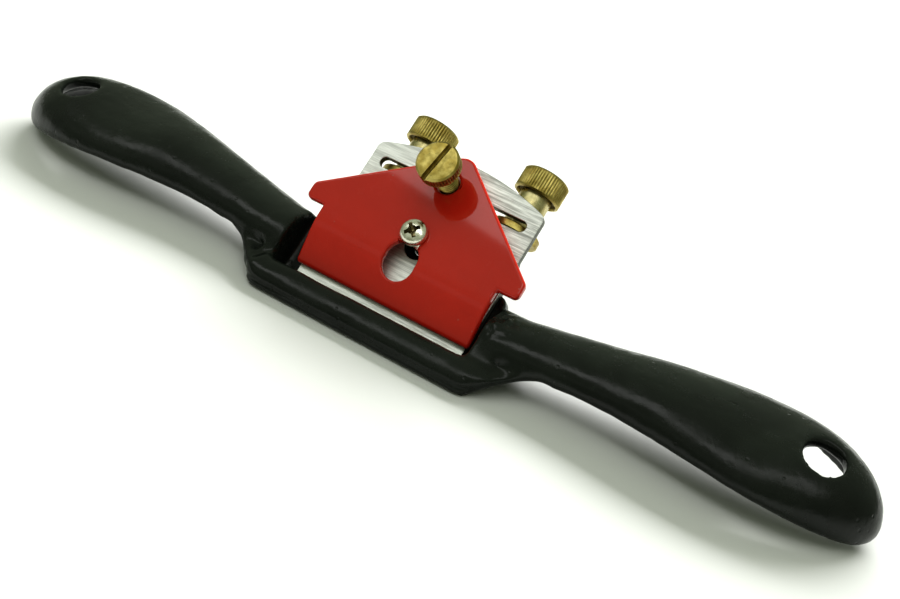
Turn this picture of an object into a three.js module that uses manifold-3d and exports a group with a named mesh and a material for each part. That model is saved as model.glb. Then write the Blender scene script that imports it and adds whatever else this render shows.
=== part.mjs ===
// Flat-sole metal spokeshave with a two-screw blade adjuster, in millimetres, +Z up.
// X runs along the handles, +Y points from the toe to the heel, and Z = 0 is the sole.
// The origin is the middle of the heel's sole, the flat behind the blade.
import * as THREE from 'three';
import { ParametricGeometry } from 'three/addons/geometries/ParametricGeometry.js';
import { mergeVertices } from 'three/addons/utils/BufferGeometryUtils.js';
import Module from 'manifold-3d';

const wasm = await Module();
wasm.setup();

// ---- driving dimensions ----
const GAP = 0.3;                 // clearance between pieces that touch
const EDGE_Y = -9;               // the cutting edge, from the origin
const BED_ANGLE = Math.PI / 4;   // slope of the bed and the blade

const BLADE = { width: 44, side: 40, crown: 43.9, thick: 2, bevel: THREE.MathUtils.degToRad(25) };
const SIDE_SLOT = { along: 35.9, inner: 7.4, outer: 19.4, radius: 1.35 };
const CENTRE_SLOT = { from: 21.5, to: 27, radius: 3.1 };

const CAP = {
  half: 22.9, front: 5.9, ear: 27.9, earFoot: 19.4, earTop: 23.3, bend: 15.2, top: 5, thick: 2.2,
};
const CAP_APEX = { x: 1.5, along: 44.2 };   // the apex stands a little off centre
const NOSE_ANGLE = THREE.MathUtils.degToRad(20);
const KEYHOLE = { from: 15.1, to: 16.6, radius: 3.8, slotEnd: 22.7, slotRadius: 2.1 };

const SCREW = { along: 22.4, radius: 1.75, tip: -8, headRadius: 3.15, headHeight: 2.3 };
const THUMB = { along: 36.3, radius: 2.45, headRadius: 4.85, headTop: 15.3, headThick: 3.1 };
const ADJUSTER = {
  apart: 29.7, below: -7.4, tip: 16, thread: 2.5, neck: 3.8, neckFoot: 32.5,
  collar: 6.1, collarThick: 2, knob: 5.65, knobFoot: 45.6, knobTop: 51.1,
};

// The toe's section: a nearly level top, a crown, a slope down to the brow, and an upright front.
const BAR = {
  front: -7, back: -1, top: 6.3, crownY: -4.1, crownTop: 5.95, crownRound: 7, brow: 3.4, browRound: 3,
  toeRound: 1, half: 29, endRound: 3,
};
const POCKET = { half: 25.7, offset: -1.2 };
const CHEEK = { outer: 31, rise: 12.4, back: 14.5, step: 6 };
// The web joins the bar's end to the handle: its front sweeps back, and its foot and top slope up outward.
const WEB = {
  inner: 23, shoulder: 30, shoulderTop: 4.9, knee: 37.2, kneeY: 1.2, outer: 47, outerY: 2.2, back: 13,
  footFrom: 27.5, heel: 41, heelFoot: 6.6, heelTop: 7.6,
};
const BED = {
  thick: 5, shoulderHalf: 24, shoulderTop: 20.7, half: 20.5, top: 31, boss: 5.2, bossFoot: 12,
};
const HANG_HOLE = { x: 97.9, y: 12.1, radius: 4.4 };

// Handle stations outward from the body: section centre, half width, and height above the parting line.
const HANDLE_END = 112.3;
const HANDLE_STATIONS = [
  { x: 22, y: 8.6, z: 7.2, half: 8.0, rise: 5.4 },
  { x: 30, y: 9.0, z: 7.3, half: 8.1, rise: 5.6 },
  { x: 48, y: 11.4, z: 8.3, half: 9.5, rise: 6.1 },
  { x: 66, y: 12.6, z: 9.2, half: 12.1, rise: 7.2 },
  { x: 84, y: 13.3, z: 9.4, half: 15.1, rise: 6.8 },
  { x: 100, y: 14.0, z: 6.8, half: 16.1, rise: 10.2 },
  { x: HANDLE_END, y: 14.7, z: 2.2, half: 16.1, rise: 10.2 },
];
const HANDLE_DROP = 2.2;         // depth of the rim below the parting line
const HOLLOW = { from: 46, to: 108, wall: 3 };   // each handle is a shell, open underneath
const END_ROUND = 40;            // length over which a handle's end rounds off

// ---- helpers ----
const X = new THREE.Vector3(1, 0, 0);
const Y = new THREE.Vector3(0, 1, 0);
const Z = new THREE.Vector3(0, 0, 1);
const ALONG_X = new THREE.Matrix4().makeBasis(Y, Z, X);       // a (Y, Z) profile drawn along X
const ON_BED = new THREE.Matrix4().makeRotationX(BED_ANGLE);  // (X, up the slope, out of the bed)

/** Closed three.js geometry to a manifold solid, without the triangles that poles leave flat. */
function solid(geometry, matrix = new THREE.Matrix4()) {
  const bare = geometry.clone().applyMatrix4(matrix);
  bare.deleteAttribute('normal');
  bare.deleteAttribute('uv');
  const merged = mergeVertices(bare, 1e-4);
  const corners = merged.index.array;
  const triVerts = [];
  for (let i = 0; i < corners.length; i += 3) {
    const [a, b, c] = corners.slice(i, i + 3);
    if (a !== b && b !== c && c !== a) triVerts.push(a, b, c);
  }
  return new wasm.Manifold(new wasm.Mesh({
    numProp: 3,
    vertProperties: new Float32Array(merged.attributes.position.array),
    triVerts: new Uint32Array(triVerts),
  }));
}

/** Manifold solid back to a three.js geometry. */
function geometryOf(body) {
  const mesh = body.getMesh();
  const geometry = new THREE.BufferGeometry();
  geometry.setAttribute('position', new THREE.BufferAttribute(mesh.vertProperties, 3));
  geometry.setIndex(new THREE.BufferAttribute(mesh.triVerts, 1));
  return geometry;
}

const join = (...bodies) => bodies.reduce((all, one) => all.add(one));
const cut = (body, ...tools) => tools.reduce((left, tool) => left.subtract(tool), body);

/** Closed outline of [x, y, corner radius] points, anticlockwise. */
function roundedShape(corners) {
  const shape = new THREE.Shape();
  corners.forEach(([x, y, radius = 0], i) => {
    const here = new THREE.Vector2(x, y);
    const toPrev = new THREE.Vector2(...corners.at(i - 1)).sub(here).normalize();
    const toNext = new THREE.Vector2(...corners[(i + 1) % corners.length]).sub(here).normalize();
    const half = Math.acos(THREE.MathUtils.clamp(toPrev.dot(toNext), -1, 1)) / 2;
    const start = here.clone().addScaledVector(toPrev, radius / Math.tan(half));
    const end = here.clone().addScaledVector(toNext, radius / Math.tan(half));
    if (i === 0) shape.moveTo(start.x, start.y);
    else shape.lineTo(start.x, start.y);
    if (radius === 0) return;
    const centre = toPrev.clone().add(toNext).normalize().multiplyScalar(radius / Math.sin(half)).add(here);
    const from = start.sub(centre).angle();
    const to = end.sub(centre).angle();
    shape.absarc(centre.x, centre.y, radius, from, to, toPrev.cross(toNext) > 0);
  });
  return shape;
}

/** Slot with round ends, from (x0, y0) to (x1, y1). */
function slotPath(x0, y0, x1, y1, radius) {
  const path = new THREE.Path();
  const lean = Math.atan2(y1 - y0, x1 - x0);
  path.absarc(x1, y1, radius, lean - Math.PI / 2, lean + Math.PI / 2);
  path.absarc(x0, y0, radius, lean + Math.PI / 2, lean + Math.PI * 1.5);
  path.closePath();
  return path;
}

/** Shape drawn out from depth `from` to `to`. */
function extrude(shape, from, to, curveSegments = 6) {
  const options = { depth: to - from, curveSegments, bevelEnabled: false };
  return new THREE.ExtrudeGeometry(shape, options).translate(0, 0, from);
}

/** Cylinder along +Y from `from` to `to`, centred on (x, z). */
function rod(radius, from, to, x = 0, z = 0, sides = 32) {
  return new THREE.CylinderGeometry(radius, radius, to - from, sides).translate(x, (from + to) / 2, z);
}

/** Turned solid about +Y through [radius, height] points. */
function turned(points, sides = 32) {
  return new THREE.LatheGeometry(points.map(([r, h]) => new THREE.Vector2(r, h)), sides);
}

// ---- body casting ----
const stationCurve = (key) => new THREE.CatmullRomCurve3(
  HANDLE_STATIONS.map((s) => new THREE.Vector3(s.x, s[key], 0)), false, 'centripetal');
const CURVES = {
  y: stationCurve('y'), z: stationCurve('z'), half: stationCurve('half'), rise: stationCurve('rise'),
};

/** Height of a station curve at x, found along the curve by bisection. */
function valueAt(curve, x) {
  let low = 0;
  let high = 1;
  const point = new THREE.Vector3();
  for (let i = 0; i < 30; i += 1) {
    const mid = (low + high) / 2;
    curve.getPoint(mid, point);
    if (point.x < x) low = mid;
    else high = mid;
  }
  return point.y;
}

/** Section frame of the right handle at x: centre, across (rearward) and upward directions. */
function handleFrame(x) {
  const centreAt = (at) => new THREE.Vector3(at, valueAt(CURVES.y, at), valueAt(CURVES.z, at));
  const step = 0.5;
  const ahead = centreAt(Math.min(x + step, HANDLE_END));
  const behind = centreAt(Math.max(x - step, HANDLE_STATIONS[0].x));
  const along = ahead.sub(behind).normalize();
  const across = Z.clone().cross(along).normalize();
  const up = along.clone().cross(across);
  const lean = 0.09 + 0.1 * (x - 65) / 35;   // the top leans forward, more so outward
  across.applyAxisAngle(along, lean);
  up.applyAxisAngle(along, lean);
  return { centre: centreAt(x), across, up };
}

/** Closed skin of the right handle between two stations, `inset` inside its outer surface. */
function handleGeometry(from, to, inset, drop) {
  return new ParametricGeometry((u, v, target) => {
    const x = from + (to - from) * Math.sin(v * Math.PI / 2);
    const { centre, across, up } = handleFrame(x);
    const roundOff = Math.max(0, (x - HANDLE_END + END_ROUND) / END_ROUND);
    const half = valueAt(CURVES.half, x) * Math.sqrt(Math.max(0, 1 - roundOff ** 2.2)) - inset;
    const thin = Math.sqrt(Math.max(0, 1 - roundOff ** 4));
    const turn = u * 2 * Math.PI;
    const height = Math.sin(turn) > 0 ? valueAt(CURVES.rise, x) * thin - inset : drop * thin;
    const open = v === 0 || v === 1 ? 0 : 1;   // both ends close to a point
    target.copy(centre)
      .addScaledVector(across, open * half * Math.cos(turn))
      .addScaledVector(up, open * height * Math.sin(turn));
  }, 28, 30);
}

function bodySolid() {
  const barProfile = roundedShape([
    [BAR.front, 0, BAR.toeRound], [BAR.back, 0], [BAR.back, BAR.top, 0.8],
    [BAR.crownY, BAR.crownTop, BAR.crownRound], [BAR.front, BAR.brow, BAR.browRound],
  ]);
  const toe = solid(extrude(barProfile, -BAR.half, BAR.half), ALONG_X);

  const cheekProfile = roundedShape([
    [BAR.back - 1, 0], [CHEEK.back, 0, 1], [CHEEK.back, CHEEK.rise, 2],
    [CHEEK.step, CHEEK.rise, 4], [BAR.back, BAR.top, 1], [BAR.back - 1, BAR.top - 0.3],
  ]);
  const cheeks = solid(extrude(cheekProfile, -CHEEK.outer, CHEEK.outer), ALONG_X);
  const corePlan = roundedShape([
    [-BAR.half, BAR.front, BAR.endRound], [BAR.half, BAR.front, BAR.endRound], [BAR.half + 1, 0, 4],
    [CHEEK.outer, CHEEK.step], [CHEEK.outer, CHEEK.back], [-CHEEK.outer, CHEEK.back],
    [-CHEEK.outer, CHEEK.step],
    [-BAR.half - 1, 0, 4],
  ]);
  const core = join(toe, cheeks).intersect(solid(extrude(corePlan, -1, 20)));
  const webFront = BAR.front + 1.5;
  const webPlan = roundedShape([
    [WEB.inner, webFront], [WEB.shoulder, webFront, 1.5], [WEB.knee, WEB.kneeY, 5],
    [WEB.outer, WEB.outerY], [WEB.outer, WEB.back], [WEB.inner, WEB.back],
  ]);
  const outside = WEB.outer + 1;
  const inside = WEB.inner - 1;
  const webSide = roundedShape([
    [WEB.footFrom, 0], [WEB.heel, WEB.heelFoot], [outside, WEB.heelFoot], [outside, WEB.heelTop],
    [WEB.heel, WEB.heelTop], [WEB.shoulder - 2, WEB.shoulderTop], [inside, WEB.shoulderTop], [inside, 0],
  ]);
  const sideways = new THREE.Matrix4().makeRotationX(Math.PI / 2);
  const webRight = solid(extrude(webPlan, 0, 20)).intersect(solid(extrude(webSide, -20, 20), sideways));
  const webs = [webRight, webRight.mirror([1, 0, 0])];

  // The bed plate, with shoulders beside the blade and a narrower top hidden behind it.
  const under = -BLADE.thick - GAP;
  const plateOutline = roundedShape([
    [-BED.shoulderHalf, 0], [BED.shoulderHalf, 0], [BED.shoulderHalf, BED.shoulderTop, 2.5],
    [BED.half, BED.shoulderTop], [BED.half, BED.top, 2], [-BED.half, BED.top, 2],
    [-BED.half, BED.shoulderTop], [-BED.shoulderHalf, BED.shoulderTop, 2.5],
  ]);
  const plate = solid(extrude(plateOutline, under - BED.thick, under), ON_BED);
  const bosses = [-1, 1].map((side) => solid(
    rod(BED.boss, BED.bossFoot, BED.top, side * ADJUSTER.apart / 2, ADJUSTER.below), ON_BED));

  const skin = solid(handleGeometry(HANDLE_STATIONS[0].x, HANDLE_END, 0, HANDLE_DROP));
  const hollow = solid(handleGeometry(HOLLOW.from, HOLLOW.to, HOLLOW.wall, 20));
  const hangHole = rod(HANG_HOLE.radius, -5, 25).rotateX(Math.PI / 2);
  const right = cut(skin, hollow, solid(hangHole.translate(HANG_HOLE.x, HANG_HOLE.y, 0)));
  const left = right.mirror([1, 0, 0]);

  // Everything in front of the bed's face and behind the bar, between the pocket's walls, is open.
  const bedDrop = under / Math.cos(BED_ANGLE);
  const reach = 60;
  const faceFoot = BAR.back + bedDrop;
  const openProfile = roundedShape([
    [BAR.back, faceFoot], [BAR.back + reach, faceFoot + reach], [BAR.back, faceFoot + reach],
  ]);
  const wall = [POCKET.offset - POCKET.half, POCKET.offset + POCKET.half];
  const pocket = solid(extrude(openProfile, ...wall), ALONG_X);
  const floor = solid(new THREE.BoxGeometry(200, 200, 20).translate(0, 0, -10));

  const bore = ADJUSTER.thread + GAP;
  const boreFoot = ADJUSTER.tip - 2.5;   // leaves room for the lowest setting
  const tapped = [-1, 1].map((side) => solid(
    rod(bore, boreFoot, BED.top + 1, side * ADJUSTER.apart / 2, ADJUSTER.below), ON_BED));
  const screwTurn = new THREE.Matrix4().makeRotationX(Math.PI / 2).setPosition(0, SCREW.along, 0);
  const screwHole = solid(rod(SCREW.radius + GAP, -20, 5), ON_BED.clone().multiply(screwTurn));

  const casting = join(core, ...webs, plate, ...bosses, right, left);
  return cut(casting, pocket, floor, ...tapped, screwHole);
}

// ---- blade, in the bed's frame: X across, Y up the slope from the edge, Z out of its face ----
function bladeGeometry() {
  const half = BLADE.width / 2;
  const sagitta = BLADE.crown - BLADE.side;
  const crownRadius = (half ** 2 + sagitta ** 2) / (2 * sagitta);
  const corner = 1.3;
  const crownCentre = BLADE.crown - crownRadius;
  const turn = Math.acos((half - corner) / crownRadius);
  const outline = new THREE.Shape();
  outline.moveTo(-half, -1);
  outline.lineTo(half, -1);
  outline.lineTo(half, BLADE.side - corner);
  outline.quadraticCurveTo(half, BLADE.side, half - corner, crownCentre + crownRadius * Math.sin(turn));
  outline.absarc(0, crownCentre, crownRadius, turn, Math.PI - turn);
  outline.quadraticCurveTo(-half, BLADE.side, -half, BLADE.side - corner);
  for (const side of [-1, 1]) {
    const near = side * (SIDE_SLOT.inner + SIDE_SLOT.radius);
    const far = side * (SIDE_SLOT.outer - SIDE_SLOT.radius);
    outline.holes.push(slotPath(near, SIDE_SLOT.along, far, SIDE_SLOT.along, SIDE_SLOT.radius));
  }
  outline.holes.push(slotPath(0, CENTRE_SLOT.from, 0, CENTRE_SLOT.to, CENTRE_SLOT.radius));
  const plate = solid(extrude(outline, -BLADE.thick, 0, 16));

  const bevelLength = BLADE.thick / Math.tan(BLADE.bevel);
  const profile = roundedShape([[0, 0], [bevelLength, -BLADE.thick], [60, -BLADE.thick], [60, 0]]);
  return geometryOf(plate.intersect(solid(extrude(profile, -half - 1, half + 1), ALONG_X)));
}

// ---- lever cap: a bent plate whose nose presses on the blade ----
function capGeometry() {
  const noseDrop = Math.tan(NOSE_ANGLE);
  const inner = CAP.top - CAP.thick;
  const innerBend = CAP.bend - CAP.thick * Math.tan(NOSE_ANGLE / 2);
  const contact = innerBend - (inner - GAP) / noseDrop;
  const lip = CAP.front + 1;
  const profile = new THREE.Shape();
  profile.moveTo(CAP.front, GAP);
  profile.lineTo(contact, GAP);
  profile.lineTo(innerBend - 2, inner - 2 * noseDrop);
  profile.quadraticCurveTo(innerBend, inner, innerBend + 2, inner);
  profile.lineTo(60, inner);
  profile.lineTo(60, CAP.top);
  profile.lineTo(CAP.bend + 2.5, CAP.top);
  profile.quadraticCurveTo(CAP.bend, CAP.top, CAP.bend - 2.5, CAP.top - 2.5 * noseDrop);
  profile.lineTo(lip, CAP.top - (CAP.bend - lip) * noseDrop);
  profile.quadraticCurveTo(CAP.front, CAP.top - (CAP.bend - CAP.front) * noseDrop, CAP.front, 1);
  const bent = solid(extrude(profile, -30, 30), ALONG_X);

  const outline = roundedShape([
    [-CAP.half, 0], [CAP.half, 0], [CAP.half, CAP.earFoot], [CAP.ear, CAP.earFoot, 1.3],
    [CAP.ear, CAP.earTop, 1.6], [CAP_APEX.x, CAP_APEX.along, 3.4], [-CAP.ear, CAP.earTop, 1.6],
    [-CAP.ear, CAP.earFoot, 1.3], [-CAP.half, CAP.earFoot],
  ]);
  const plan = solid(extrude(outline, -1, 8));
  const wide = new THREE.Shape(slotPath(0, KEYHOLE.from, 0, KEYHOLE.to, KEYHOLE.radius).getPoints(14));
  const narrow = new THREE.Shape(
    slotPath(0, KEYHOLE.to, 0, KEYHOLE.slotEnd, KEYHOLE.slotRadius).getPoints(10));
  const tapped = rod(THUMB.radius + GAP, -1, 8).rotateX(Math.PI / 2).translate(0, THUMB.along, 0);
  const holes = [extrude(wide, -1, 8), extrude(narrow, -1, 8), tapped].map((hole) => solid(hole));
  return geometryOf(cut(bent.intersect(plan), ...holes));
}

// ---- screws, turned about +Y and then placed ----
function adjusterGeometry() {
  const a = ADJUSTER;
  const collarFoot = SIDE_SLOT.along - a.collarThick / 2;
  const collarTop = SIDE_SLOT.along + a.collarThick / 2;
  return turned([
    [0, a.tip], [a.thread - 0.6, a.tip], [a.thread, a.tip + 0.6], [a.thread, a.neckFoot],
    [a.neck, a.neckFoot], [a.neck, collarFoot], [a.collar, collarFoot], [a.collar, collarTop],
    [a.neck, collarTop], [a.neck, a.knobFoot], [a.knob - 0.4, a.knobFoot], [a.knob, a.knobFoot + 0.4],
    [a.knob, a.knobTop - 0.4], [a.knob - 0.4, a.knobTop], [0, a.knobTop],
  ], 48);
}

function thumbscrewGeometry() {
  const foot = THUMB.headTop - THUMB.headThick;
  const screw = turned([
    [0, GAP], [THUMB.radius - 0.6, GAP], [THUMB.radius, GAP + 0.6], [THUMB.radius, foot],
    [THUMB.headRadius - 0.4, foot], [THUMB.headRadius, foot + 0.4], [THUMB.headRadius, THUMB.headTop - 0.4],
    [THUMB.headRadius - 0.4, THUMB.headTop], [0, THUMB.headTop],
  ]);
  const slotWidth = 1.2;
  const slotDepth = 1.3;
  const slot = new THREE.BoxGeometry(slotWidth, 2 * slotDepth, 12).rotateY(THREE.MathUtils.degToRad(9));
  slot.translate(0, THUMB.headTop, 0);
  return geometryOf(cut(solid(screw), solid(slot)));
}

function capScrewGeometry() {
  const seat = CAP.top + GAP;
  const top = seat + SCREW.headHeight;
  const screw = turned([
    [0, SCREW.tip], [SCREW.radius - 0.5, SCREW.tip], [SCREW.radius, SCREW.tip + 0.5], [SCREW.radius, seat],
    [SCREW.headRadius, seat], [SCREW.headRadius, seat + 1], [SCREW.headRadius - 0.35, seat + 1.6],
    [SCREW.headRadius - 1.1, top - 0.15], [0, top],
  ]);
  const recess = [0, 1].map((arm) => solid(
    new THREE.BoxGeometry(0.8, 3, 3.6).rotateY((arm + 0.5) * Math.PI / 2).translate(0, top, 0)));
  return geometryOf(cut(solid(screw), ...recess));
}

// ---- materials ----
const material = (color, roughness, metalness) => new THREE.MeshStandardMaterial({
  color, roughness, metalness,
});
const PAINT = material(0x1d211e, 0.35, 0.1);
const ENAMEL = material(0x96261d, 0.2, 0.1);
const STEEL = material(0xb9bab8, 0.35, 1);
const BRASS = material(0xa98f3f, 0.35, 1);
const NICKEL = material(0xcfcbb8, 0.25, 1);

// ---- assembly ----
function addMesh(parent, name, geometry, finish) {
  const mesh = new THREE.Mesh(geometry, finish);
  mesh.name = name;
  parent.add(mesh);
  return mesh;
}

const spokeshave = new THREE.Group();
spokeshave.position.y = EDGE_Y;
addMesh(spokeshave, 'body', geometryOf(bodySolid()), PAINT);

const bed = new THREE.Group();
bed.rotation.x = BED_ANGLE;
spokeshave.add(bed);
addMesh(bed, 'blade', bladeGeometry(), STEEL);
addMesh(bed, 'lever_cap', capGeometry(), ENAMEL);

const STAND_UP = Math.PI / 2;   // turns a screw's axis square to the bed
const capScrew = addMesh(bed, 'cap_screw', capScrewGeometry(), NICKEL);
capScrew.position.y = SCREW.along;
capScrew.rotation.x = STAND_UP;
const thumbscrew = addMesh(bed, 'cap_thumbscrew', thumbscrewGeometry(), BRASS);
thumbscrew.position.y = THUMB.along;
thumbscrew.rotation.x = STAND_UP;

for (const [name, side] of [['adjuster_left', -1], ['adjuster_right', 1]]) {
  const adjuster = addMesh(bed, name, adjusterGeometry(), BRASS);
  adjuster.position.set(side * ADJUSTER.apart / 2, 0, ADJUSTER.below);
}

export default spokeshave;
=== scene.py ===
"""Visual model of a flat-sole metal spokeshave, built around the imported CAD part. Metres, +Z up."""
import math

import bmesh
import bpy
import numpy as np
from mathutils import Matrix, Vector, noise


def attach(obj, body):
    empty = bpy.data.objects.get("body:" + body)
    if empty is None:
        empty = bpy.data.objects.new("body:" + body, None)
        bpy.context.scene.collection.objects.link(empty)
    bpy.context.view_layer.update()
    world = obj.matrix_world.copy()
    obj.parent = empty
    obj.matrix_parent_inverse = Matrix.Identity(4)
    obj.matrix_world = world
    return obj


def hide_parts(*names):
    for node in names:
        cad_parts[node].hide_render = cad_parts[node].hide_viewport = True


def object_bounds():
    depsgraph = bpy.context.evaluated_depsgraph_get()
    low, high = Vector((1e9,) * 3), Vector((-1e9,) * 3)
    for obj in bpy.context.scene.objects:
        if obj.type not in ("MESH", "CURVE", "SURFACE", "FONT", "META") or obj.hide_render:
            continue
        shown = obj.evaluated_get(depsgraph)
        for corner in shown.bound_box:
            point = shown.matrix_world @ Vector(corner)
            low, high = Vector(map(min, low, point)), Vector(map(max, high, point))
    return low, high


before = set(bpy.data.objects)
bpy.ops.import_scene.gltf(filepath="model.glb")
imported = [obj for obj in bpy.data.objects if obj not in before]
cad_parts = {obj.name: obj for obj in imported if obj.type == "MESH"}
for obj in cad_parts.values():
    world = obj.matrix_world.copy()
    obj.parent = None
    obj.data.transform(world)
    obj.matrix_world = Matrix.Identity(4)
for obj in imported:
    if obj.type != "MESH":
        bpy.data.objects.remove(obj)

CAD_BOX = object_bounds()
MM = 0.001

# ---- places shared with the CAD part, in millimetres ----
EDGE_Y = -9.0                    # the cutting edge, from the origin
BED_ANGLE = math.radians(45)
ADJUSTER_X = 14.85               # each adjuster's axis, from the middle
ADJUSTER_N = -7.4                # and below the blade's upper face
CAP_SCREW_ALONG = 22.4           # up the bed's slope, from the cutting edge
THUMB_ALONG = 36.3
CAP_TOP = 5.0                    # the cap's upper face, above the blade's
GAP = 0.3                        # between a screw and the face that it presses on
# (X across, Y up the bed's slope, Z out of the blade's upper face), from the cutting edge
BED = Matrix.Translation((0, EDGE_Y * MM, 0)) @ Matrix.Rotation(BED_ANGLE, 4, "X")

# ---- camera ----
CAMERA_AT = (0.12537, -0.24161, 0.16096)
CAMERA_AZIMUTH, CAMERA_ELEVATION, CAMERA_ROLL = 24.84, 29.455, 14.055      # degrees
CAMERA_LENS, CAMERA_SENSOR = 56.9, 36                                      # millimetres

# ---- colours: linear red, green and blue ----
PAINT, PAINT_THIN, DUST = (0.0050, 0.0066, 0.0050), (0.0078, 0.0102, 0.0076), (0.022, 0.027, 0.021)
ENAMEL, ENAMEL_LIGHT, ENAMEL_SPECK = (0.440, 0.0185, 0.0088), (0.480, 0.0205, 0.0098), (0.42, 0.06, 0.045)
IRON, IRON_LIGHT = (0.30, 0.30, 0.29), (0.50, 0.50, 0.48)
# the third steel colour is a painted reflection that brightens the blade face to the left
STEEL, STEEL_LIGHT, STEEL_PAINTED_SHEEN = (0.36, 0.365, 0.355), (0.78, 0.78, 0.76), (0.86, 0.86, 0.84)
STEEL_TARNISH, STEEL_STAIN = (0.40, 0.37, 0.30), (0.09, 0.08, 0.06)
SIDE, SIDE_LIGHT = (0.055, 0.058, 0.048), (0.16, 0.165, 0.14)
NICKEL, NICKEL_LIGHT, NICKEL_DIRT = (0.70, 0.67, 0.55), (0.86, 0.84, 0.74), (0.22, 0.20, 0.14)
# each brass: light, dark, and the dirt in its grooves
AGED_BRASS = (0.50, 0.41, 0.14), (0.29, 0.22, 0.055), (0.07, 0.05, 0.018)
BRIGHT_BRASS = (0.58, 0.52, 0.29), (0.42, 0.36, 0.17), (0.16, 0.12, 0.05)
# the recess's brass is darker and browner than the nickel head: painted shade, with grime patches
RECESS_SHADED_BRASS = (0.44, 0.38, 0.22), (0.14, 0.11, 0.05), (0.05, 0.04, 0.02)
FLOOR = (0.60, 0.605, 0.59)
ROOM = (0.89, 1.0, 0.76)


# ---- camera, floor, room and lights ----
def link(name, data):
    """A new object in the scene."""
    made = bpy.data.objects.new(name, data)
    bpy.context.scene.collection.objects.link(made)
    return made


def direction(azimuth, elevation):
    """The way a camera looks: azimuth 0 along +Y and 90 along -X, looking down by elevation."""
    a, e = math.radians(azimuth), math.radians(elevation)
    return Vector((-math.sin(a) * math.cos(e), math.cos(a) * math.cos(e), -math.sin(e)))


def make_camera():
    data = bpy.data.cameras.new("camera")
    camera = link("camera", data)
    forward = direction(CAMERA_AZIMUTH, CAMERA_ELEVATION)
    level = forward.cross(Vector((0, 0, 1))).normalized()
    above = level.cross(forward)
    roll = math.radians(CAMERA_ROLL)
    right = math.cos(roll) * level + math.sin(roll) * above
    up = right.cross(forward)
    turn = Matrix((right, up, -forward)).transposed().to_4x4()
    camera.matrix_world = Matrix.Translation(CAMERA_AT) @ turn
    data.sensor_width = CAMERA_SENSOR
    data.lens = CAMERA_LENS
    data.clip_start, data.clip_end = 0.01, 20
    bpy.context.scene.camera = camera
    view = bpy.context.scene.view_settings
    view.view_transform = "Standard"
    view.look = "Medium High Contrast"


def area_light(name, at, towards, size, power):
    data = bpy.data.lights.new(name, "AREA")
    data.shape = "RECTANGLE"
    data.size, data.size_y = size
    data.energy = power
    lamp = link(name, data)
    lamp.location = at
    lamp.rotation_euler = (Vector(towards) - Vector(at)).to_track_quat("-Z", "Y").to_euler()
    return lamp


def make_lights():
    # two lights are left out of reflections: one casts the soft shadow in front, the other lights the enamel
    back = area_light("back", at=(0.04, 0.80, 0.62), towards=(0, 0, 0), size=(1.1, 0.40), power=22)
    back.visible_glossy = False
    fill = area_light("fill", at=(-0.10, -0.40, 1.00), towards=(0, 0.02, 0), size=(1.2, 0.9), power=1.5)
    fill.visible_glossy = False
    area_light("overhead", at=(-0.05, -0.36, 0.88), towards=(0, 0.02, 0), size=(1.5, 0.24), power=2.2)
    area_light("front", at=(-0.42, -0.80, 0.58), towards=(0, 0, 0.01), size=(1.5, 0.16), power=0.10)


def make_floor(half=3):
    mesh = bpy.data.meshes.new("floor")
    corners = [(-half, -half, 0), (half, -half, 0), (half, half, 0), (-half, half, 0)]
    mesh.from_pydata(corners, [], [(0, 1, 2, 3)])
    ground = link("floor", mesh)
    m = Nodes("floor")
    m.finish(FLOOR, 0.75, m.bump(m.noise(0.6, 2), 0.005))
    mesh.materials.append(m.material)


def make_room():
    """A plain room, dim near the horizon and lighter above."""
    world = bpy.data.worlds.new("studio")
    world.use_nodes = True
    tree = world.node_tree
    background = next(n for n in tree.nodes if n.type == "BACKGROUND")
    coords = tree.nodes.new("ShaderNodeTexCoord")
    split = tree.nodes.new("ShaderNodeSeparateXYZ")
    strength = tree.nodes.new("ShaderNodeMapRange")
    for key, value in (("From Min", 0.0), ("From Max", 0.75), ("To Min", 0.24), ("To Max", 0.43)):
        strength.inputs[key].default_value = value
    tree.links.new(coords.outputs["Generated"], split.inputs[0])
    tree.links.new(split.outputs[2], strength.inputs["Value"])
    tree.links.new(strength.outputs["Result"], background.inputs["Strength"])
    background.inputs["Color"].default_value = (*ROOM, 1)
    bpy.context.scene.world = world


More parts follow.
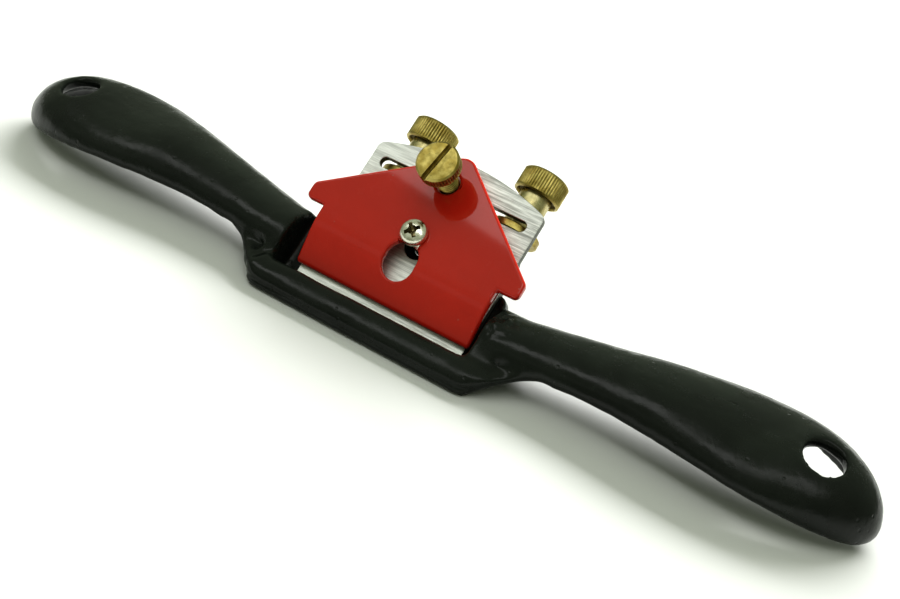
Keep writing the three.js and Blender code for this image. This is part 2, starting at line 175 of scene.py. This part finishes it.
# ---- node helpers ----
class Nodes:
    """A material's node tree, with short ways to add and join nodes."""

    def __init__(self, name):
        self.material = bpy.data.materials.new(name)
        self.material.use_nodes = True
        self.tree = self.material.node_tree
        self.shader = next(n for n in self.tree.nodes if n.type == "BSDF_PRINCIPLED")
        self.place = self.add("ShaderNodeTexCoord").outputs["Object"]

    def add(self, kind, **values):
        node = self.tree.nodes.new(kind)
        for key, value in values.items():
            setattr(node, key, value)
        return node

    def join(self, source, socket):
        """Links a socket, or sets a plain value."""
        if isinstance(source, bpy.types.NodeSocket):
            self.tree.links.new(source, socket)
        else:
            socket.default_value = source

    def join_colour(self, source, socket):
        self.join(source if isinstance(source, bpy.types.NodeSocket) else (*source, 1), socket)

    def mapped(self, scale=(1, 1, 1), turn=(0, 0, 0), source=None):
        node = self.add("ShaderNodeMapping")
        self.join(source or self.place, node.inputs["Vector"])
        node.inputs["Scale"].default_value = scale
        node.inputs["Rotation"].default_value = turn
        return node.outputs[0]

    def noise(self, size, detail=3.0, rough=0.5, source=None):
        """Noise with features about `size` millimetres across."""
        node = self.add("ShaderNodeTexNoise")
        self.join(source or self.place, node.inputs["Vector"])
        node.inputs["Scale"].default_value = 1 / (size * MM)
        node.inputs["Detail"].default_value = detail
        node.inputs["Roughness"].default_value = rough
        return node.outputs["Fac"]

    def spots(self, size):
        """Distance to the nearest of scattered points, about `size` millimetres apart."""
        node = self.add("ShaderNodeTexVoronoi", feature="F1")
        self.join(self.place, node.inputs["Vector"])
        node.inputs["Scale"].default_value = 1 / (size * MM)
        return node.outputs["Distance"]

    def ramp(self, source, low, high, to_low=0.0, to_high=1.0):
        """A smooth step from to_low at `low` to to_high at `high`."""
        node = self.add("ShaderNodeMapRange", interpolation_type="SMOOTHSTEP")
        self.join(source, node.inputs["Value"])
        for key, value in zip(("From Min", "From Max", "To Min", "To Max"), (low, high, to_low, to_high)):
            node.inputs[key].default_value = value
        return node.outputs["Result"]

    def maths(self, kind, a, b):
        node = self.add("ShaderNodeMath", operation=kind)
        self.join(a, node.inputs[0])
        self.join(b, node.inputs[1])
        return node.outputs[0]

    def blend(self, share, a, b):
        """Colour a where share is 0, and b where it is 1."""
        node = self.add("ShaderNodeMix", data_type="RGBA")
        self.join(share, node.inputs[0])
        self.join_colour(a, node.inputs[6])
        self.join_colour(b, node.inputs[7])
        return node.outputs[2]

    def blend_values(self, share, a, b):
        """Value a where share is 0, and b where it is 1."""
        node = self.add("ShaderNodeMix", data_type="FLOAT")
        self.join(share, node.inputs[0])
        self.join(a, node.inputs[2])
        self.join(b, node.inputs[3])
        return node.outputs[0]

    def bump(self, height, depth, under=None):
        """Bump of `depth` millimetres, on top of the bump `under`."""
        node = self.add("ShaderNodeBump")
        self.join(height, node.inputs["Height"])
        node.inputs["Strength"].default_value = 1
        node.inputs["Distance"].default_value = depth * MM
        if under is not None:
            self.join(under, node.inputs["Normal"])
        return node.outputs[0]

    def axis(self, which):
        node = self.add("ShaderNodeSeparateXYZ")
        self.join(self.place, node.inputs[0])
        return node.outputs[which]

    def finish(self, colour, roughness, normal, **values):
        socket = self.shader.inputs
        self.join_colour(colour, socket["Base Color"])
        self.join(roughness, socket["Roughness"])
        self.join(normal, socket["Normal"])
        for key, value in values.items():
            socket[key.replace("_", " ")].default_value = value
        return self.material


# ---- materials: sizes of noise and depths of bump in millimetres ----
def black_paint():
    m = Nodes("black_paint")
    colour = m.blend(m.ramp(m.noise(14, 2), 0.35, 0.65), PAINT, PAINT_THIN)
    # dust and dull film in patches
    dust = m.ramp(m.noise(2.2, 5, 0.65), 0.60, 0.78, 0, 0.30)
    colour = m.blend(dust, colour, DUST)
    roughness = m.ramp(m.noise(9, 4, 0.6), 0.3, 0.72, 0.18, 0.34)
    swell = m.bump(m.noise(5.5, 2, 0.4), 0.10)
    peel = m.bump(m.noise(1.3, 3, 0.55), 0.045, swell)
    pits = m.bump(m.ramp(m.spots(3.1), 0.05, 0.16), 0.06, peel)
    # the sole is ground bare
    painted = m.ramp(m.axis(2), 0.06 * MM, 0.16 * MM)
    grind = m.noise(0.35, 4, 0.6, m.mapped((0.06, 1, 1)))
    iron = m.blend(m.ramp(grind, 0.3, 0.7), IRON, IRON_LIGHT)
    iron_roughness = m.ramp(grind, 0.2, 0.8, 0.28, 0.45)
    m.join(m.maths("SUBTRACT", 1.0, painted), m.shader.inputs["Metallic"])
    colour = m.blend(painted, iron, colour)
    roughness = m.blend_values(painted, iron_roughness, roughness)
    return m.finish(colour, roughness, pits, Specular_IOR_Level=0.28)


def red_enamel():
    m = Nodes("red_enamel")
    colour = m.blend(m.ramp(m.noise(16, 3), 0.35, 0.65), ENAMEL, ENAMEL_LIGHT)
    colour = m.blend(m.ramp(m.spots(4.7), 0.035, 0.06), ENAMEL_SPECK, colour)
    peel = m.bump(m.noise(2.6, 2, 0.4), 0.012)
    grain = m.bump(m.noise(0.5, 3, 0.5), 0.004, peel)
    roughness = m.ramp(m.noise(6, 4, 0.6), 0.3, 0.7, 0.20, 0.30)
    return m.finish(colour, roughness, grain, Specular_IOR_Level=0.05, Coat_Weight=1, Coat_Roughness=0.04,
                    Coat_IOR=1.43)


def blade_face():
    m = Nodes("ground_steel")
    # grinding marks run across the face, rising to the right
    on_bed = m.mapped(turn=(-BED_ANGLE, 0, 0))
    lines = m.mapped((0.045, 1, 0.3), (0, 0, -math.radians(20)), on_bed)
    coarse = m.maths("MULTIPLY", m.noise(0.55, 3, 0.6, lines), 0.6)
    fine = m.maths("MULTIPLY", m.noise(0.16, 3, 0.6, lines), 0.4)
    mark = m.maths("ADD", coarse, fine)
    colour = m.blend(m.ramp(mark, 0.36, 0.64), STEEL, STEEL_LIGHT)
    colour = m.blend(m.ramp(m.noise(7, 3), 0.58, 0.8, 0, 0.35), colour, STEEL_TARNISH)
    # painted reflection: the face is painted brighter to the left
    across = m.ramp(m.axis(0), -20 * MM, 24 * MM, 1.0, 0.0)
    colour = m.blend(m.maths("MULTIPLY", across, 0.45), colour, STEEL_PAINTED_SHEEN)
    colour = m.blend(m.ramp(m.spots(5.3), 0.03, 0.055), STEEL_STAIN, colour)
    roughness = m.ramp(mark, 0.3, 0.7, 0.56, 0.40)
    return m.finish(colour, roughness, m.bump(mark, 0.02), Metallic=1)


def blade_side():
    m = Nodes("blade_side_steel")
    grain = m.noise(0.4, 4, 0.6)
    colour = m.blend(m.ramp(grain, 0.3, 0.7), SIDE, SIDE_LIGHT)
    return m.finish(colour, m.ramp(grain, 0.3, 0.7, 0.5, 0.35), m.bump(grain, 0.03), Metallic=0.9)


def brass(name, colours, shine):
    """Brass with tarnish, dents, and dirt in its grooves. `shine` is its least roughness."""
    light, dark, grime = colours
    m = Nodes(name)
    colour = m.blend(m.ramp(m.noise(2.6, 4, 0.6), 0.35, 0.68), dark, light)
    patches = m.ramp(m.noise(0.7, 4, 0.7), 0.58, 0.75, 0, 0.7)
    groove = m.add("ShaderNodeAttribute", attribute_name="groove").outputs["Fac"]
    dirt = m.maths("MAXIMUM", patches, m.ramp(groove, 0.25, 0.9, 0, 0.85))
    colour = m.blend(dirt, colour, grime)
    roughness = m.ramp(m.noise(1.2, 4, 0.6), 0.3, 0.7, shine, shine + 0.2)
    scratch = m.bump(m.noise(0.25, 4, 0.6), 0.012)
    dents = m.bump(m.ramp(m.spots(1.4), 0.05, 0.2), 0.015, scratch)
    return m.finish(colour, roughness, dents, Metallic=1)


def nickel():
    m = Nodes("nickel_plate")
    tone = m.noise(1.5, 4, 0.6)
    colour = m.blend(m.ramp(tone, 0.35, 0.65), NICKEL, NICKEL_LIGHT)
    colour = m.blend(m.ramp(m.noise(0.6, 3, 0.7), 0.6, 0.75, 0, 0.6), colour, NICKEL_DIRT)
    return m.finish(colour, m.ramp(tone, 0.3, 0.7, 0.14, 0.28), m.bump(m.noise(0.5, 3), 0.02), Metallic=1)


# ---- mesh helpers ----
def dress(name, mesh, body, node, materials, place=None):
    """Puts a mesh in the scene as a piece that rides on a body and replaces a CAD node."""
    if place is not None:
        mesh.transform(place)
    mesh.validate()
    mesh.update()
    piece = link(name, mesh)
    for material in materials:
        mesh.materials.append(material)
    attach(piece, body)
    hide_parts(node)
    return piece


def mesh_of(name, verts, faces):
    """A mesh from vertices in millimetres."""
    mesh = bpy.data.meshes.new(name)
    mesh.from_pydata([tuple(c * MM for c in v) for v in verts], [], faces)
    mesh.update()
    return mesh


def baked(obj):
    """A new mesh with the object's modifiers applied."""
    bpy.context.view_layer.update()
    depsgraph = bpy.context.evaluated_depsgraph_get()
    return bpy.data.meshes.new_from_object(obj.evaluated_get(depsgraph), depsgraph=depsgraph)


def boolean(mesh, cutters, name):
    """The mesh with the cutters' shapes taken away."""
    target = link(name + "_whole", mesh)
    tools = [link(name + "_cutter", cutter) for cutter in cutters]
    for tool in tools:
        step = target.modifiers.new("cut", "BOOLEAN")
        step.operation = "DIFFERENCE"
        step.solver = "EXACT"
        step.object = tool
    result = baked(target)
    for helper in (target, *tools):
        bpy.data.objects.remove(helper)
    return result


def smooth(piece, angle):
    """Smooth shading, with edges past the angle kept sharp."""
    mesh = piece.data
    mesh.polygons.foreach_set("use_smooth", [True] * len(mesh.polygons))
    mesh.set_sharp_from_angle(angle=math.radians(angle))
    mesh.update()


def mark_grooves(mesh, depth_of):
    """Stores how deep in a groove each vertex lies, from 0 to 1, for the grime in the material."""
    attribute = mesh.attributes.new("groove", "FLOAT", "POINT")
    attribute.data.foreach_set("value", [depth_of(v.co / MM) for v in mesh.vertices])


def share_of(value, whole):
    """The value as a part of the whole, kept between 0 and 1."""
    return min(1.0, max(0.0, value / whole))


def revolve(rings, sides):
    """Vertices and faces of a turned skin about +Z, closed at both ends. Each ring is a radius, or a
    function of turn and height that gives one, with a height."""
    verts, faces = [], []
    for radius, height in rings:
        for i in range(sides):
            turn = 2 * math.pi * i / sides
            r = radius(turn, height) if callable(radius) else radius
            verts.append((r * math.cos(turn), r * math.sin(turn), height))
    for k in range(len(rings) - 1):
        for i in range(sides):
            j = (i + 1) % sides
            faces.append((k * sides + i, k * sides + j, (k + 1) * sides + j, (k + 1) * sides + i))
    first, last = len(verts), len(verts) + 1
    verts += [(0, 0, rings[0][1]), (0, 0, rings[-1][1])]
    top = (len(rings) - 1) * sides
    for i in range(sides):
        j = (i + 1) % sides
        faces += [(first, j, i), (last, top + i, top + j)]
    return verts, faces


# ---- body casting ----
def relaxed(co, edges, bed, root_zone, flat):
    """The casting's edges rounded off. The roots of the handles are rounded much further."""
    edge_rounds, bed_rounds, left_rounds, rounds = 14, 4, 32, 54
    a, b = edges
    count = np.bincount(a, minlength=len(co)) + np.bincount(b, minlength=len(co))
    right_side = co[:, 0] > 0
    for k in range(rounds):
        mean = np.zeros_like(co)
        for axis in range(3):
            mean[:, axis] = np.bincount(a, co[b, axis], len(co)) + np.bincount(b, co[a, axis], len(co))
        mean /= count[:, None]
        edge_weight = np.where(bed & (k >= bed_rounds), 0.0, 0.5) if k < edge_rounds else 0.0
        # the left root stays crisper than the right one
        root_weight = 0.5 * (root_zone if k < left_rounds else root_zone * right_side)
        co = co + (mean - co) * np.maximum(edge_weight, root_weight)[:, None]
        co[flat, 2] = 0.0
    return co


def field(points, size, seed, octaves=2):
    """Smooth noise at each point, about -1 to 1, with features `size` millimetres across."""
    shift = Vector((seed * 3.7, seed * -1.9, seed * 5.3))
    k = 1 / (size * MM)
    return np.array([noise.fractal(Vector(p) * k + shift, 1.0, 2.0, octaves) for p in points])


def seam(points, path):
    """Distance in millimetres from each point to a line through `path`, from the cutting edge."""
    nearest = np.full(len(points), np.inf)
    corners = (np.array(path) + (0, EDGE_Y, 0)) * MM
    for start, end in zip(corners[:-1], corners[1:]):
        along = end - start
        share = np.clip((points - start) @ along / (along @ along), 0, 1)
        gap = np.linalg.norm(points - start - share[:, None] * along, axis=1)
        nearest = np.minimum(nearest, gap)
    return nearest / MM


def step_up(x, low, high):
    """A smooth step from 0 at `low` to 1 at `high`."""
    t = np.clip((x - low) / (high - low), 0, 1)
    return t * t * (3 - 2 * t)


def bell(x, middle, width):
    return np.exp(-((x - middle) / width) ** 2)


def cast_relief(co, normals, bed, toe, y):
    """How far each point of the casting stands out, in millimetres. y is from the cutting edge."""
    x, z = co[:, 0] / MM, co[:, 2] / MM
    lift = 0.10 * field(co, 9, 1) + 0.035 * field(co, 2.6, 2)
    lift = lift * np.where(bed, 0.15, 1.0)
    # flash stands out along the toe's lower front edge, where the mould halves met
    front = step_up(-normals[:, 1], 0.5, 0.8) * toe
    flash = 0.36 * bell(z, 1.15, 0.40) - 0.22 * bell(z, 2.2, 0.45)
    lift += front * flash * (0.85 + 0.4 * field(co, 7, 5, 1))
    # a crease runs over the toe's left end where it meets the handle's root
    crease = seam(co, [(-30.6, -4.6, 2.6), (-30.2, -3.9, 4.2), (-29.6, -2.6, 5.4),
                       (-28.6, -0.9, 6.2), (-27.4, 0.8, 6.8)])
    lift += 0.12 * bell(crease, 1.9, 1.0) - 0.30 * bell(crease, 0, 0.80)
    # the right cheek's top was left rough by the mould, and stands proud of the handle
    patch = np.exp(-(((x - 27.8) / 2.4) ** 2 + ((y - 7.2) / 4.6) ** 2) ** 2)
    lift += patch * step_up(normals[:, 2], 0.3, 0.7) * (0.12 + 0.55 * field(co, 1.4, 9))
    # the surface stays plain near the sole
    return lift * step_up(z, 0.1, 0.6)


def body_casting(paint):
    source = link("casting_source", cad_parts["body"].data.copy())
    remesh = source.modifiers.new("voxels", "REMESH")
    remesh.mode = "VOXEL"
    remesh.voxel_size = 0.5 * MM
    mesh = baked(source)
    mesh.materials.clear()
    bpy.data.objects.remove(source)

    co = np.zeros(len(mesh.vertices) * 3)
    mesh.vertices.foreach_get("co", co)
    co = co.reshape(-1, 3)
    edges = np.zeros(len(mesh.edges) * 2, int)
    mesh.edges.foreach_get("vertices", edges)

    x, y, z = np.abs(co[:, 0]) / MM, co[:, 1] / MM - EDGE_Y, co[:, 2] / MM
    flat = z < 0.05                                                  # the ground sole stays flat
    bed = (np.abs(z - y) < 8) & (x < 25.5) & (y > -0.8)              # the machined bed keeps finer edges
    toe = (x < 31) & (y < 0)
    # the handles run into the toe and cheeks through wide fillets
    root_zone = np.exp(-(((x - 34) / 7) ** 2 + ((y - 1) / 9) ** 2))
    root_zone = np.where(root_zone > 0.15, root_zone, 0.0)
    co = relaxed(co, edges.reshape(-1, 2).T, bed, root_zone, flat)
    mesh.vertices.foreach_set("co", co.ravel())
    mesh.update()

    normals = np.zeros(len(mesh.vertices) * 3)
    mesh.vertices.foreach_get("normal", normals)
    normals = normals.reshape(-1, 3)
    moved = co + normals * (cast_relief(co, normals, bed, toe, y) * MM)[:, None]
    moved[flat, 2] = 0.0
    moved = np.clip(moved, *(np.array(corner) for corner in CAD_BOX))
    mesh.vertices.foreach_set("co", moved.ravel())
    mesh.update()
    smooth(dress("body_casting", mesh, "root", "body", [paint]), 180)


# ---- plates: copies of the CAD meshes with rounded edges ----
def is_side(face):
    """Whether a face of a plate on the bed is one of its narrow sides."""
    local = BED.to_3x3().inverted() @ face.normal
    return abs(local.z) < 0.3


def plate(name, node, body, radius, segments, materials):
    """A CAD plate with rounded edges. Its second material, if it has one, goes on its narrow sides."""
    bm = bmesh.new()
    bm.from_mesh(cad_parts[node].data)
    bmesh.ops.remove_doubles(bm, verts=bm.verts, dist=1e-7)
    bmesh.ops.dissolve_limit(bm, angle_limit=math.radians(0.6), verts=bm.verts, edges=bm.edges)
    if len(materials) > 1:
        for face in bm.faces:
            face.material_index = int(is_side(face))
    sharp = [e for e in bm.edges if len(e.link_faces) == 2 and e.calc_face_angle() > math.radians(35)]
    bmesh.ops.bevel(bm, geom=sharp, offset=radius * MM, segments=segments, profile=0.5,
                    affect="EDGES", clamp_overlap=False)
    mesh = bpy.data.meshes.new(name)
    bm.to_mesh(mesh)
    bm.free()
    piece = dress(name, mesh, body, node, materials)
    smooth(piece, 50)
    weighted = piece.modifiers.new("normals", "WEIGHTED_NORMAL")
    weighted.mode = "FACE_AREA"
    weighted.weight = 80
    weighted.keep_sharp = True


# ---- screws: rings of (radius, height along the axis), in millimetres ----
def knurl(radius, teeth, depth, low, high, chamfer, phase=0.0):
    """Radius of a straight-knurled rim: rounded teeth that fade out over the chamfer at each end."""
    def at(turn, height):
        fade = min(1.0, max(0.0, (height - low) / chamfer), max(0.0, (high - height) / chamfer))
        wave = abs(math.sin(teeth * turn / 2 + phase))
        # worn: no two teeth are cut equally deep
        lump = 0.75 + 0.5 * noise.noise(Vector((math.cos(turn) * 3, math.sin(turn) * 3, 7.0)))
        return radius - depth * (1 - wave) * fade * lump
    return at


def rim_groove(p, radius, depth, low, high):
    """How deep in the knurl's grooves a point of the rim lies, from 0 to 1."""
    if not low + 0.3 < p.z < high - 0.3:
        return 0.0
    return share_of(radius - math.hypot(p.x, p.y), depth)


def thread(radius, pitch, depth):
    """Radius of a screw thread with rounded vees."""
    def at(turn, height):
        phase = (height / pitch - turn / (2 * math.pi)) % 1.0
        return radius - depth * abs(2 * phase - 1) ** 1.2
    return at


def rings_between(radius, low, high, count):
    """Evenly spaced rings: `count` steps from low to high."""
    return [(radius, low + (high - low) * k / count) for k in range(count + 1)]


def threaded_rings(radius, pitch, depth, low, high, steps=8):
    """Rings of a threaded length, with `steps` rings in each turn."""
    return rings_between(thread(radius, pitch, depth), low, high, round((high - low) / pitch * steps))


def adjuster(name, side, materials):
    """An adjusting screw. Its second material goes on the neck, which wear keeps bright."""
    sides = 300
    thread_r, neck_r, collar_r, knob_r = 2.5, 3.8, 6.1, 5.62
    collar_foot, collar_top, knob_foot, top = 34.9, 36.9, 45.6, 51.1
    knurl_depth = 0.30
    rim = knurl(knob_r, 50, knurl_depth, knob_foot + 0.25, top - 0.41, 0.5, 0.4 if side > 0 else 1.1)
    shank = [(1.9, 16.0), (2.05, 16.3)]
    shank += threaded_rings(thread_r, 0.8, 0.42, 16.7, 32.0)
    shank += [(thread_r, 32.4), (3.6, 32.5)]
    heel = [(neck_r, 32.7), (neck_r, 34.6), (neck_r + 0.15, collar_foot)]
    collar = [(collar_r - 0.3, collar_foot), (collar_r, collar_foot + 0.3),
              (collar_r, collar_top - 0.3), (collar_r - 0.3, collar_top)]
    neck = [(neck_r + 0.15, collar_top), (neck_r, collar_top + 0.3), (neck_r, 39.5), (neck_r, 42.5),
            (neck_r, 45.2), (neck_r, 46.6)]
    knob = [(4.7, 46.6), (4.85, 46.4), (4.9, 45.75), (5.0, knob_foot), (5.2, knob_foot)]
    knob += rings_between(rim, knob_foot + 0.25, top - 0.41, 12)
    knob += [(5.2, top - 0.02), (4.95, top), (3.5, top - 0.04), (1.2, top - 0.05)]
    rings, tones = [], []
    for section, tone in ((shank, 0), (heel, 1), (collar, 0), (neck, 1), (knob, 0)):
        rings += section
        tones += [tone] * len(section)
    mesh = mesh_of(name, *revolve(rings, sides))
    mark_grooves(mesh, lambda p: rim_groove(p, knob_r, knurl_depth, knob_foot, top))
    # the axis runs up the bed's slope
    up_slope = Matrix.Rotation(-math.pi / 2, 4, "X")
    place = BED @ Matrix.Translation((side * ADJUSTER_X * MM, 0, ADJUSTER_N * MM)) @ up_slope
    piece = dress(name, mesh, name, name, materials, place)
    for k, (below, above) in enumerate(zip(tones[:-1], tones[1:])):
        for i in range(sides):
            piece.data.polygons[k * sides + i].material_index = min(below, above)
    smooth(piece, 38)


def slot_cutter(width, depth, top, turn):
    """A box that cuts a slot across a screw's head."""
    half, reach = width / 2, 8
    verts = [(x, y, z) for z in (top - depth, top + 1) for x, y in
             ((-half, -reach), (half, -reach), (half, reach), (-half, reach))]
    faces = [(3, 2, 1, 0), (4, 5, 6, 7), (0, 1, 5, 4), (1, 2, 6, 5), (2, 3, 7, 6), (3, 0, 4, 7)]
    mesh = mesh_of("slot", verts, faces)
    mesh.transform(Matrix.Rotation(turn, 4, "Z"))
    return mesh


def cap_thumbscrew(materials):
    radius, foot, top = 4.85, 12.2, 15.3
    thread_r, knurl_depth = 2.45, 0.34
    rim = knurl(radius, 46, knurl_depth, foot + 0.15, top - 0.42, 0.4)
    rings = [(1.5, GAP), (2.0, GAP + 0.35)]
    rings += threaded_rings(thread_r, 0.8, 0.42, GAP + 0.5, foot - 0.5, 10)
    rings += [(2.35, foot - 0.35), (2.4, foot + 0.25), (3.9, foot + 0.3), (4.15, foot + 0.02), (4.4, foot)]
    rings += rings_between(rim, foot + 0.15, top - 0.42, 10)
    rings += [(4.42, top - 0.02), (4.15, top), (2.6, top), (1.0, top)]
    whole = mesh_of("thumb", *revolve(rings, 184))
    mesh = boolean(whole, [slot_cutter(1.2, 1.3, top, -math.radians(9))], "thumb")

    def groove(p):
        """Grime in the thread, the screw's slot and the knurl."""
        across = math.hypot(p.x, p.y)
        if p.z < foot - 0.4:
            return share_of(thread_r - across, 0.30)
        if p.z < top - 0.5 and across < radius - 0.5:
            return 1.0
        return rim_groove(p, radius, knurl_depth, foot, top)

    mark_grooves(mesh, groove)
    place = BED @ Matrix.Translation((0, THUMB_ALONG * MM, 0))
    smooth(dress("thumbscrew", mesh, "cap_thumbscrew", "cap_thumbscrew", materials, place), 38)


def phillips_cutters(top, turn):
    """A cross of two tapered blades and a point in the middle."""
    rows = [(2.05, 0.50, top + 0.4), (1.75, 0.42, top - 0.5), (0.75, 0.26, top - 1.75)]
    verts = [(sx * half, sy * thick, z) for half, thick, z in rows
             for sx, sy in ((-1, -1), (1, -1), (1, 1), (-1, 1))]
    faces = [(0, 1, 2, 3), (11, 10, 9, 8)]
    for k in (0, 4):
        faces += [(k + i, k + 4 + i, k + 4 + (i + 1) % 4, k + (i + 1) % 4) for i in range(4)]
    cutters = []
    for arm in range(2):
        mesh = mesh_of("arm", verts, faces)
        mesh.transform(Matrix.Rotation(turn + arm * math.pi / 2, 4, "Z"))
        cutters.append(mesh)
    point = [(0.25, top - 2.1), (0.95, top - 0.7), (1.15, top + 0.4)]
    return [*cutters, mesh_of("point", *revolve(point, 16))]


def cap_screw(materials):
    """The pan-head screw. Its second material, a darker brown brass with painted shade and grime patches,
    goes in the recess.
    """
    seat = CAP_TOP + GAP
    top = seat + 2.3
    rings = [(1.2, -8.0), (1.5, -7.6)]
    rings += threaded_rings(1.75, 0.7, 0.34, -7.5, seat - 0.9)
    rings += [(1.7, seat - 0.7), (1.75, seat), (2.95, seat), (3.1, seat + 0.12), (3.15, seat + 0.35),
              (3.15, seat + 0.75), (3.10, seat + 1.05), (2.98, seat + 1.35), (2.78, seat + 1.62),
              (2.48, seat + 1.85), (2.1, seat + 2.04), (1.6, seat + 2.18), (1.0, seat + 2.27), (0.4, top)]
    whole = mesh_of("pan", *revolve(rings, 72))
    mesh = boolean(whole, phillips_cutters(top, math.radians(45)), "pan")
    inside = []
    for face in mesh.polygons:
        across, height = math.hypot(*face.center[:2]) / MM, face.center.z / MM
        inside.append(across < 2.2 and seat + 0.1 < height < top - 0.12 - 0.10 * across ** 2)
    place = BED @ Matrix.Translation((0, CAP_SCREW_ALONG * MM, 0))
    piece = dress("pan_screw", mesh, "cap_screw", "cap_screw", materials, place)
    for face, hidden in zip(piece.data.polygons, inside):
        face.material_index = int(hidden)
    smooth(piece, 35)


# ---- the scene ----
make_camera()
make_floor()
make_room()
make_lights()

body_casting(black_paint())
plate("blade_plate", "blade", "blade", 0.16, 2, [blade_face(), blade_side()])
plate("cap_plate", "lever_cap", "cap", 0.70, 5, [red_enamel()])
aged, bright = brass("brass", AGED_BRASS, 0.28), brass("bright_brass", BRIGHT_BRASS, 0.24)
adjuster("adjuster_left", -1, [aged, bright])
adjuster("adjuster_right", 1, [aged, bright])
cap_thumbscrew([aged])
cap_screw([nickel(), brass("recess", RECESS_SHADED_BRASS, 0.35)])
